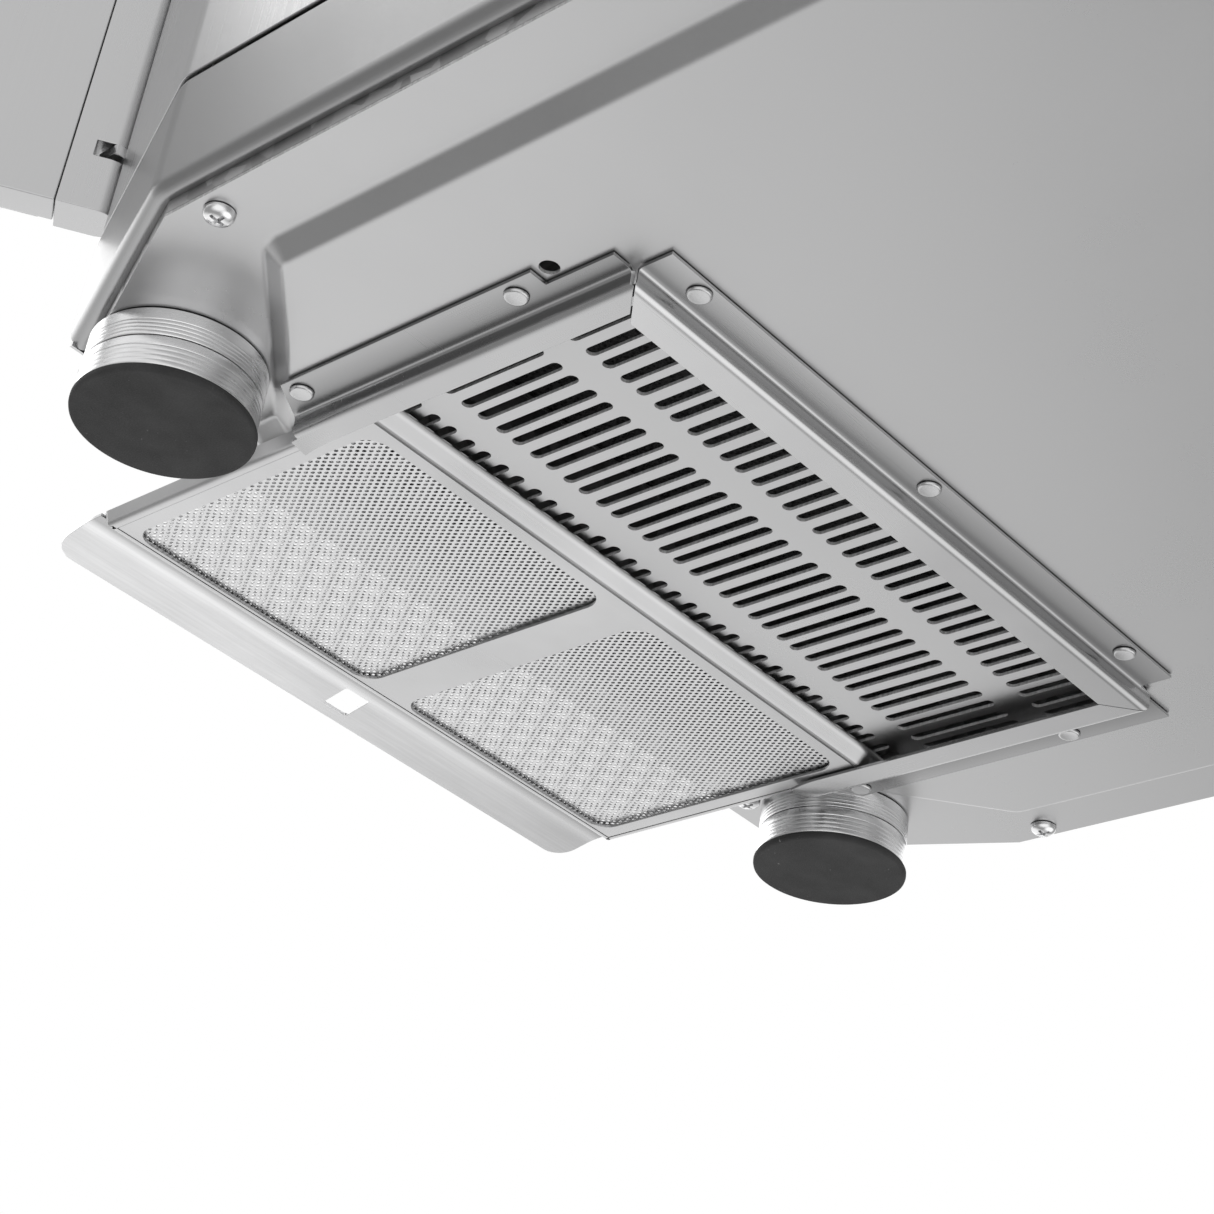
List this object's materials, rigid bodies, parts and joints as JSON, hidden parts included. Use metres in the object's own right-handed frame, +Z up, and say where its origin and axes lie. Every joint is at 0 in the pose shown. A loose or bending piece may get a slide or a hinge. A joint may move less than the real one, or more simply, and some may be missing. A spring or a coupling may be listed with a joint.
{
  "type": "free-standing extractor unit",
  "caption": "Free-standing stainless extractor: cabinet on levelling feet with a slotted intake base, slide-out mesh grease filter, side-hung front door and blower inside.",
  "frame": {"origin": "the floor point midway between the four feet", "axes": "+X to the right as the door is faced, +Y to the back, +Z up"},
  "size_m": [0.7461, 0.7969, 0.3445],
  "materials": {
    "satin_steel": "satin stainless sheet",
    "bright_steel": "bright stainless sheet and fixings",
    "galvanised_steel": "galvanised sheet",
    "turned_aluminium": "turned, finely grooved",
    "black_rubber": "matte",
    "black_plastic": "moulded",
    "motor_paint": "black enamel",
    "carbon_foam": "open-cell foam with carbon",
    "filter_mesh": "layered expanded mesh"
  },
  "bodies": {
    "casing": {"base_pan": "satin_steel", "base_skirt": "satin_steel", "side_panel_left": "satin_steel", "side_panel_right": "satin_steel", "rear_panel": "satin_steel", "top_cover": "satin_steel", "door_frame": "satin_steel", "rail_left": "bright_steel", "rail_right": "bright_steel", "rail_back": "bright_steel", "rail_rivet_1": "bright_steel", "rail_rivet_2": "bright_steel", "rail_rivet_3": "bright_steel", "rail_rivet_4": "bright_steel", "rail_rivet_5": "bright_steel", "rail_rivet_6": "bright_steel", "rail_rivet_7": "bright_steel", "pan_screw_1": "bright_steel", "pan_screw_2": "bright_steel", "pan_screw_3": "bright_steel", "pan_screw_4": "bright_steel", "pan_screw_5": "bright_steel", "pan_screw_6": "bright_steel", "outlet_grille": "bright_steel", "hinge_tab_lower": "bright_steel", "hinge_tab_upper": "bright_steel", "base_frame": "galvanised_steel", "intake_duct": "galvanised_steel", "filter_shelf": "galvanised_steel", "blower_scroll": "galvanised_steel", "motor_bracket": "galvanised_steel", "foot_collar_1": "turned_aluminium", "foot_collar_2": "turned_aluminium", "foot_collar_3": "turned_aluminium", "foot_collar_4": "turned_aluminium", "speed_control": "black_plastic", "switch_body": "black_plastic", "mains_inlet": "black_plastic", "blower_motor": "motor_paint"},
    "filter": {"filter_frame": "bright_steel", "filter_mesh_left": "filter_mesh", "filter_mesh_right": "filter_mesh", "filter_grip": "bright_steel"},
    "foot_1": {"foot_barrel_1": "turned_aluminium", "foot_pad_1": "black_rubber"},
    "foot_2": {"foot_barrel_2": "turned_aluminium", "foot_pad_2": "black_rubber"},
    "foot_3": {"foot_barrel_3": "turned_aluminium", "foot_pad_3": "black_rubber"},
    "foot_4": {"foot_barrel_4": "turned_aluminium", "foot_pad_4": "black_rubber"},
    "door": {"front_door": "satin_steel", "door_stile": "satin_steel", "door_liner": "galvanised_steel", "door_handle": "bright_steel"},
    "cassette": {"cassette_frame": "black_plastic", "cassette_foam": "carbon_foam"},
    "wheel": {"blower_wheel": "galvanised_steel"},
    "knob": {"speed_knob": "black_plastic"},
    "rocker": {"power_rocker": "black_plastic"}
  },
  "joints": [
    {"name": "filter_slide", "type": "slide", "parent": "casing", "child": "filter", "axis": [0, -1, 0], "range_m": [-0.103, 0.025]},
    {"name": "door_hinge", "type": "hinge", "parent": "casing", "child": "door", "pos_m": [0.193, -0.287, 0.2], "axis": [0, 0, 1], "range_deg": [-145, 15]},
    {"name": "cassette_slide", "type": "slide", "parent": "casing", "child": "cassette", "axis": [0, -1, 0], "range_m": [0, 0.18]},
    {"name": "wheel_spin", "type": "hinge", "parent": "casing", "child": "wheel", "pos_m": [0, 0.12, 0.19], "axis": [1, 0, 0], "continuous": true},
    {"name": "knob_turn", "type": "hinge", "parent": "casing", "child": "knob", "pos_m": [0.07, -0.28, 0.053], "axis": [0, -1, 0], "range_deg": [0, 270]},
    {"name": "rocker_tilt", "type": "hinge", "parent": "casing", "child": "rocker", "pos_m": [0.128, -0.2765, 0.053], "axis": [1, 0, 0], "range_deg": [-14, 0]},
    {"name": "foot_adjust_1", "type": "slide", "parent": "casing", "child": "foot_1", "axis": [0, 0, -1], "range_m": [0, 0.012]},
    {"name": "foot_adjust_2", "type": "slide", "parent": "casing", "child": "foot_2", "axis": [0, 0, -1], "range_m": [0, 0.012]},
    {"name": "foot_adjust_3", "type": "slide", "parent": "casing", "child": "foot_3", "axis": [0, 0, -1], "range_m": [0, 0.012]},
    {"name": "foot_adjust_4", "type": "slide", "parent": "casing", "child": "foot_4", "axis": [0, 0, -1], "range_m": [0, 0.012]}
  ]
}
